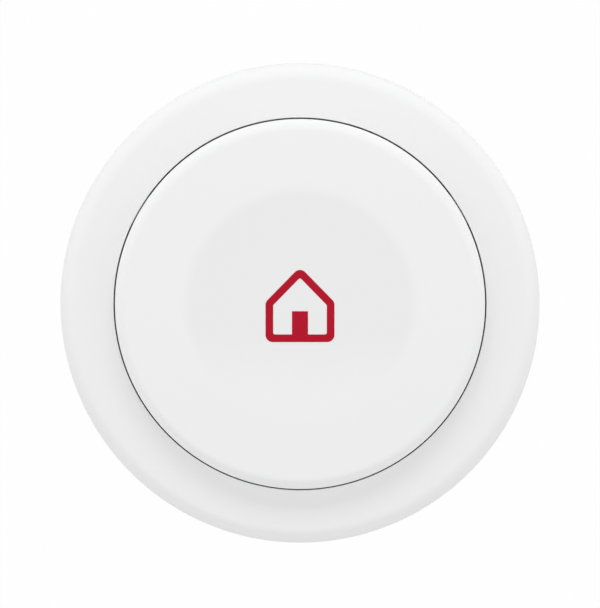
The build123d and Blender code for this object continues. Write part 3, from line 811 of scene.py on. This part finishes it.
def makeSprings():
    # along the wire: a circle that climbs; round the wire: a small circle across that climb
    bottom = low("return_springs") + spring["wire"]
    top = high("return_springs") - spring["wire"]
    share = np.linspace(0, 1, spring["turns"] * spring["steps"] + 1)[:, None]
    turn = 2 * np.pi * spring["turns"] * share
    wireTurn = np.linspace(0, 2 * np.pi, spring["around"], endpoint=False)
    radius = spring["radius"] + spring["wire"] * np.cos(wireTurn)
    coil = np.stack(
        [
            radius * np.cos(turn),
            radius * np.sin(turn),
            bottom + (top - bottom) * share + spring["wire"] * np.sin(wireTurn),
        ],
        -1,
    )
    middle = np.repeat(coil.mean(1, keepdims=True), spring["around"], 1)
    coil = np.concatenate([middle[:1], coil, middle[-1:]])  # closes both ends of the wire
    coils = []
    for angle in threeAngles:
        mesh = meshFromGrid("coil", (coil + [*polar(cap["springCircle"], angle), 0]) * mm, False)
        coils.append(mesh)
    mesh = cleaned(joined(coils))
    wearing = ("device", "spring_steel", ["return_springs"], finish["springSteel"])
    piece = newPiece("springs", mesh, *wearing, sharp=spring["sharp"])
    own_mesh(piece)


def makeDome():
    # a slice of a sphere's shell: radius from its width and height, carried round the press axis
    width = (high("switch_dome", 0) - low("switch_dome", 0)) / 2
    bottom, top = low("switch_dome"), high("switch_dome")
    sphere = (width**2 + (top - bottom) ** 2) / (2 * (top - bottom))
    reach = np.linspace(0, math.asin(width / sphere), dome["steps"])
    shell = [
        np.stack([radius * np.sin(reach), top - sphere + radius * np.cos(reach)], 1)
        for radius in (sphere, sphere - dome["metal"])
    ]
    path = np.concatenate([shell[0], shell[1][::-1]])
    mesh = turnedMesh("dome", path, False, dome["segments"])
    piece = newPiece("dome", mesh, "device", "contact_metal", ["switch_dome"], finish["stripNickel"])
    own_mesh(piece)


makeSprings()
makeDome()
print("springs and dome made")

# stage, light and camera
stage = {"radius": 800, "cover": 0.5, "glow": 0.985, "albedo": 0.6, "segments": 256}
sky = {"level": 0.62, "sides": 1.08, "topLoss": 0.5, "bottomGain": 0.07}


def makeFloor():
    # a flat ring, open where the wall plate covers it, so that the back is lit when seen from below
    angle = np.linspace(0, 2 * np.pi, stage["segments"], endpoint=False)
    radius = np.array([stage["radius"], high("wall_plate", 0) - stage["cover"]])[:, None]
    grid = np.stack([radius * np.cos(angle), radius * np.sin(angle), radius * 0 * angle], -1)
    mesh = meshFromGrid("floor", grid * mm, False)
    floor = bpy.data.objects.new("floor", mesh)
    bpy.context.scene.collection.objects.link(floor)
    material = bpy.data.materials.new("floorWhite")
    material.use_nodes = True
    tree = material.node_tree
    tree.nodes.clear()
    out = tree.nodes.new("ShaderNodeOutputMaterial")
    diffuse = tree.nodes.new("ShaderNodeBsdfDiffuse")
    diffuse.inputs["Color"].default_value = (stage["albedo"],) * 3 + (1,)
    glow = tree.nodes.new("ShaderNodeEmission")
    path = tree.nodes.new("ShaderNodeLightPath")
    seen = math2(tree, "MAXIMUM", path.outputs["Is Camera Ray"], path.outputs["Is Glossy Ray"])
    seen = math2(tree, "MAXIMUM", seen, path.outputs["Is Transmission Ray"])
    share = math2(tree, "MULTIPLY", seen, stage["glow"])
    blend = tree.nodes.new("ShaderNodeMixShader")
    tree.links.new(share, blend.inputs[0])
    tree.links.new(diffuse.outputs[0], blend.inputs[1])
    tree.links.new(glow.outputs[0], blend.inputs[2])
    back = tree.nodes.new("ShaderNodeBsdfTransparent")
    side = tree.nodes.new("ShaderNodeNewGeometry")
    oneSided = tree.nodes.new("ShaderNodeMixShader")
    tree.links.new(side.outputs["Backfacing"], oneSided.inputs[0])
    tree.links.new(blend.outputs[0], oneSided.inputs[1])
    tree.links.new(back.outputs[0], oneSided.inputs[2])
    tree.links.new(oneSided.outputs[0], out.inputs["Surface"])
    mesh.materials.append(material)


def makeWorld():
    # white where it is seen; as light it is strongest from the left and right and weakest from the
    # top, where the key is:
    # level + sides * x * x - topLoss * y (where y is above 0) - bottomGain * y (where y is below 0)
    world = bpy.data.worlds.new("studio")
    bpy.context.scene.world = world
    world.use_nodes = True
    tree = world.node_tree
    back = tree.nodes["Background"]
    back.inputs["Color"].default_value = (1, 1, 1, 1)
    split = tree.nodes.new("ShaderNodeSeparateXYZ")
    tree.links.new(tree.nodes.new("ShaderNodeTexCoord").outputs["Generated"], split.inputs[0])
    across = math2(tree, "MULTIPLY", split.outputs[0], split.outputs[0])
    light = math2(tree, "ADD", math2(tree, "MULTIPLY", across, sky["sides"]), sky["level"])
    above = math2(tree, "MAXIMUM", split.outputs[1], 0)
    below = math2(tree, "MINIMUM", split.outputs[1], 0)
    light = math2(tree, "SUBTRACT", light, math2(tree, "MULTIPLY", above, sky["topLoss"]))
    light = math2(tree, "SUBTRACT", light, math2(tree, "MULTIPLY", below, sky["bottomGain"]))
    path = tree.nodes.new("ShaderNodeLightPath")
    seen = math2(tree, "MAXIMUM", path.outputs["Is Camera Ray"], path.outputs["Is Glossy Ray"])
    seen = math2(tree, "MAXIMUM", seen, path.outputs["Is Transmission Ray"])
    white = math2(tree, "MULTIPLY", seen, math2(tree, "SUBTRACT", 1, light))
    tree.links.new(math2(tree, "ADD", white, light), back.inputs["Strength"])


key = {"power": 1.71, "width": 0.6, "height": 0.18, "distance": 0.6, "elevation": 27}  # watts, metres


def makeKey():
    lamp = bpy.data.lights.new("key", "AREA")
    lamp.energy = key["power"]
    lamp.shape = "RECTANGLE"
    lamp.size, lamp.size_y = key["width"], key["height"]
    holder = bpy.data.objects.new("key", lamp)
    angle = math.radians(key["elevation"])
    holder.location = (0, key["distance"] * math.cos(angle), key["distance"] * math.sin(angle))
    holder.rotation_euler = (-(math.pi / 2 - angle), 0, 0)
    holder.visible_glossy = False  # reflections show the white room alone
    bpy.context.scene.collection.objects.link(holder)


shot = {
    "tilt": 1.9,
    "distance": 1.2,  # metres, as near and far are
    "near": 0.05,
    "far": 10,
    "pixelsPerMm": 8.0,
    "imageHeight": 608,
    "sensor": 36.0,
}


def makeCamera():
    # looks down the press axis from slightly above its top side, 8 pixels to a millimetre
    data = bpy.data.cameras.new("camera")
    data.sensor_width = shot["sensor"]
    seenHeight = shot["imageHeight"] / shot["pixelsPerMm"] * mm
    data.lens = shot["sensor"] * shot["distance"] / seenHeight
    camera = bpy.data.objects.new("camera", data)
    tilt = math.radians(shot["tilt"])
    camera.location = (
        0,
        shot["distance"] * math.sin(tilt),
        ringTop * mm + shot["distance"] * math.cos(tilt),
    )
    camera.rotation_euler = (-tilt, 0, 0)
    data.clip_start, data.clip_end = shot["near"], shot["far"]
    bpy.context.scene.collection.objects.link(camera)
    bpy.context.scene.camera = camera


makeFloor()
makeWorld()
makeKey()
makeCamera()
bpy.context.scene.view_settings.view_transform = "Standard"
print("stage, light and camera made")
